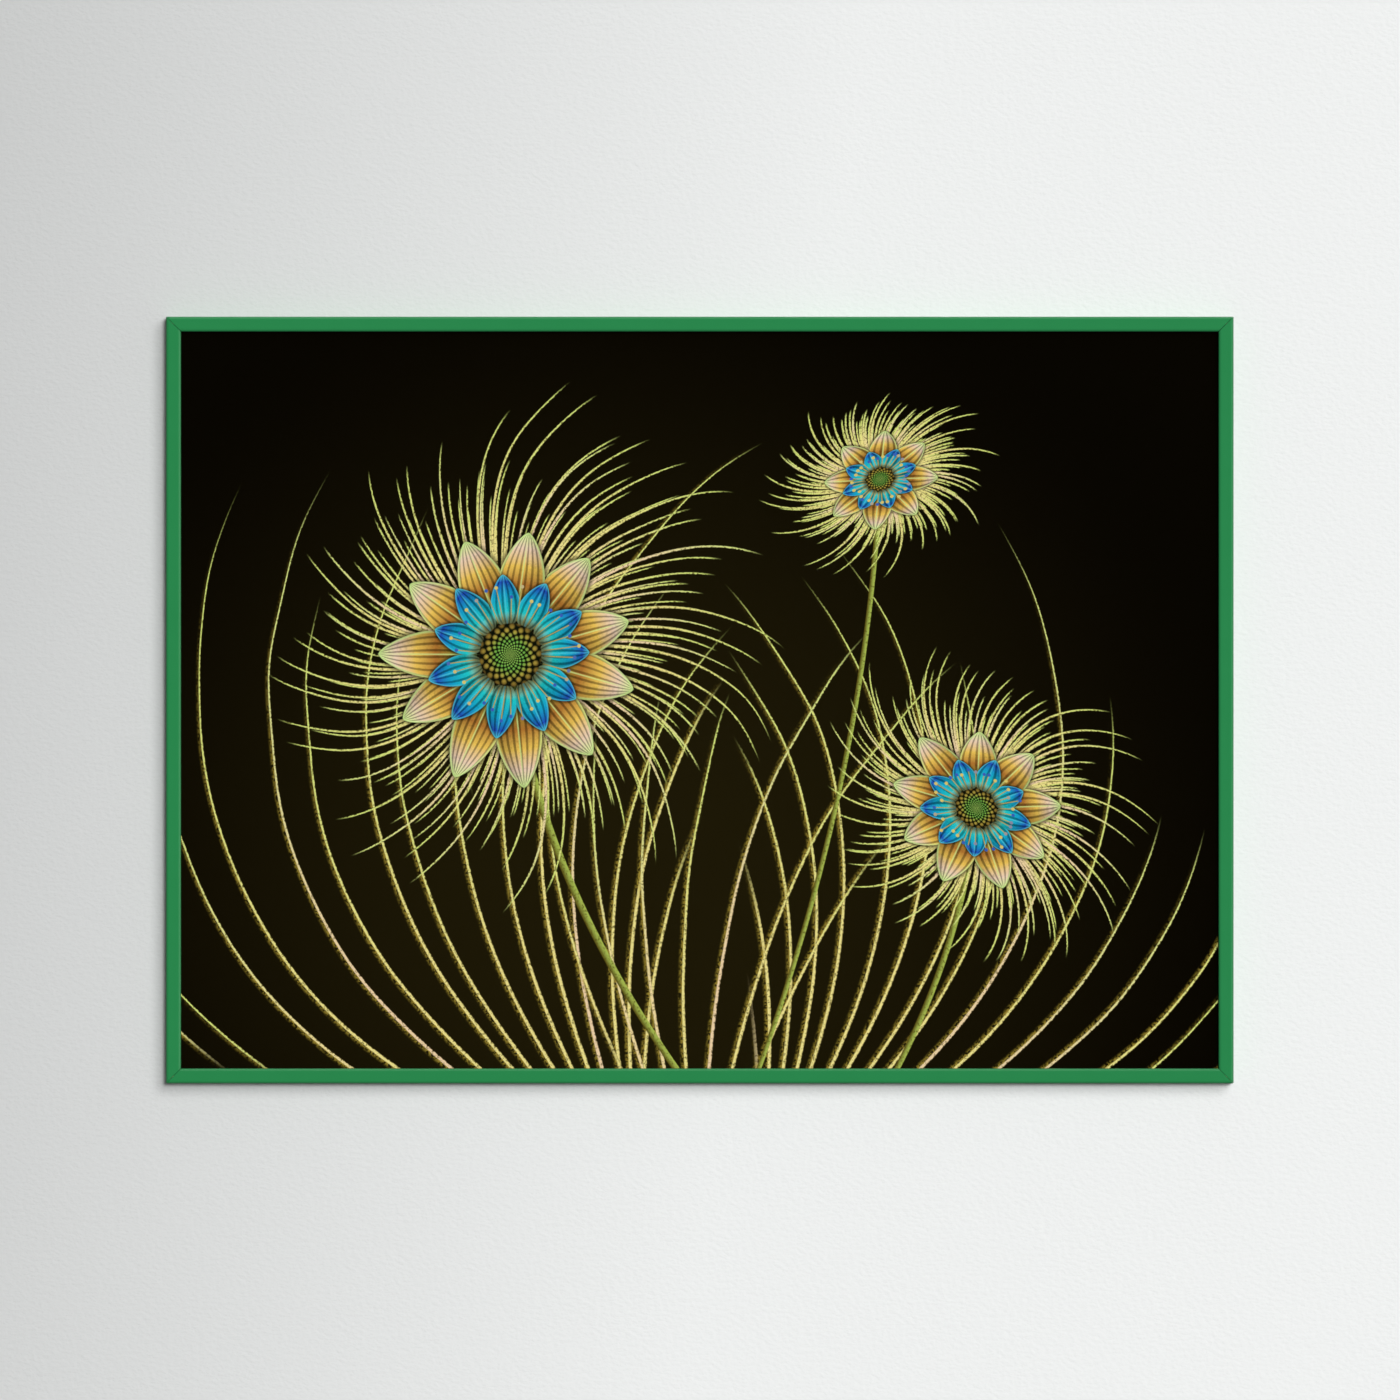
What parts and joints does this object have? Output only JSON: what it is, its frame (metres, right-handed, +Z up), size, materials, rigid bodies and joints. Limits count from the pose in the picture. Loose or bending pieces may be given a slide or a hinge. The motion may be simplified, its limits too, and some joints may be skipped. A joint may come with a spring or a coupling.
{
  "type": "framed print",
  "caption": "Landscape print behind a clear sheet in a slim mitred green wall frame; a board back is held by flat steel tabs and carries a sawtooth hanger.",
  "frame": {"origin": "on the wall plane at the hanging nail: the middle notch of the hanger rests on the nail's shank at this height, halfway along the frame", "axes": "+X to the right for someone looking at the picture, +Y from the picture into the wall, +Z up along the picture's height"},
  "size_m": [0.71, 0.02, 0.51],
  "materials": {
    "painted_frame": "satin green lacquer over a wooden moulding, bare wood in the rebate",
    "glazing": "clear cast acrylic, polished faces",
    "print": "smooth coated art paper, printed to its edges",
    "fibreboard": "brown hardboard, smooth outside",
    "zinc_steel": "bright zinc plate"
  },
  "bodies": {
    "root": {"rail_top": "painted_frame", "rail_bottom": "painted_frame", "rail_left": "painted_frame", "rail_right": "painted_frame", "glazing": "glazing", "print": "print", "backing_board": "fibreboard", "tab_top_1": "zinc_steel", "tab_top_2": "zinc_steel", "tab_top_3": "zinc_steel", "tab_top_4": "zinc_steel", "tab_bottom_1": "zinc_steel", "tab_bottom_2": "zinc_steel", "tab_bottom_3": "zinc_steel", "tab_bottom_4": "zinc_steel", "tab_left_1": "zinc_steel", "tab_left_2": "zinc_steel", "tab_left_3": "zinc_steel", "tab_right_1": "zinc_steel", "tab_right_2": "zinc_steel", "tab_right_3": "zinc_steel", "hanger": "zinc_steel", "rivet_left": "zinc_steel", "rivet_right": "zinc_steel"}
  },
  "joints": []
}
